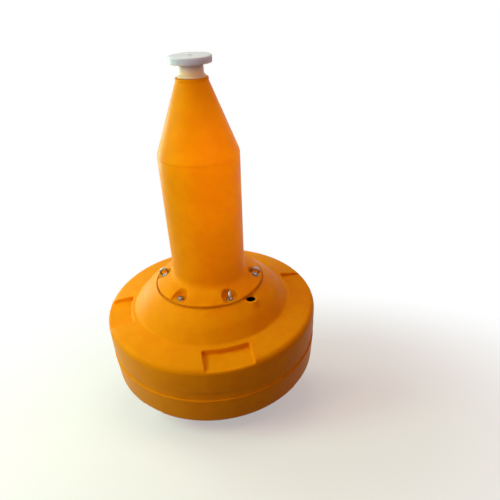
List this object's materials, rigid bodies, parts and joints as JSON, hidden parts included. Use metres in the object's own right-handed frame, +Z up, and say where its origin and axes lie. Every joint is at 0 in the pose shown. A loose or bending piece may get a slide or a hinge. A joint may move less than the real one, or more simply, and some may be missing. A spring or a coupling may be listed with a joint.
{
  "type": "navigation buoy",
  "caption": "Orange moulded navigation buoy with a round float, scalloped tower, lifting eyes and a lantern seat, leaning on its flat bottom's rim as it lies ashore.",
  "frame": {"origin": "on the floor, under the middle of the buoy's box as it lies", "axes": "+Z up; the buoy's own axis leans 21.6 degrees from +Z towards -Y, its front; +X to the right seen from the front"},
  "size_m": [1.2, 1.2664, 1.9179],
  "materials": {
    "float_plastic": "satin, moulded",
    "tower_plastic": "satin, moulded",
    "stainless": "satin",
    "milky_plastic": "satin, slightly translucent",
    "zinc_coated_iron": "zinc coated",
    "zinc_coated_steel": "zinc coated"
  },
  "bodies": {
    "root": {"float_hull": "float_plastic", "tower": "tower_plastic", "eye_bolts": "stainless", "plain_bolt": "stainless", "eye_washers": "stainless", "lantern_seat": "milky_plastic", "counterweight": "zinc_coated_iron", "mooring_eye": "zinc_coated_steel", "base_studs": "stainless", "base_washers": "stainless", "base_nuts": "stainless"}
  },
  "joints": []
}
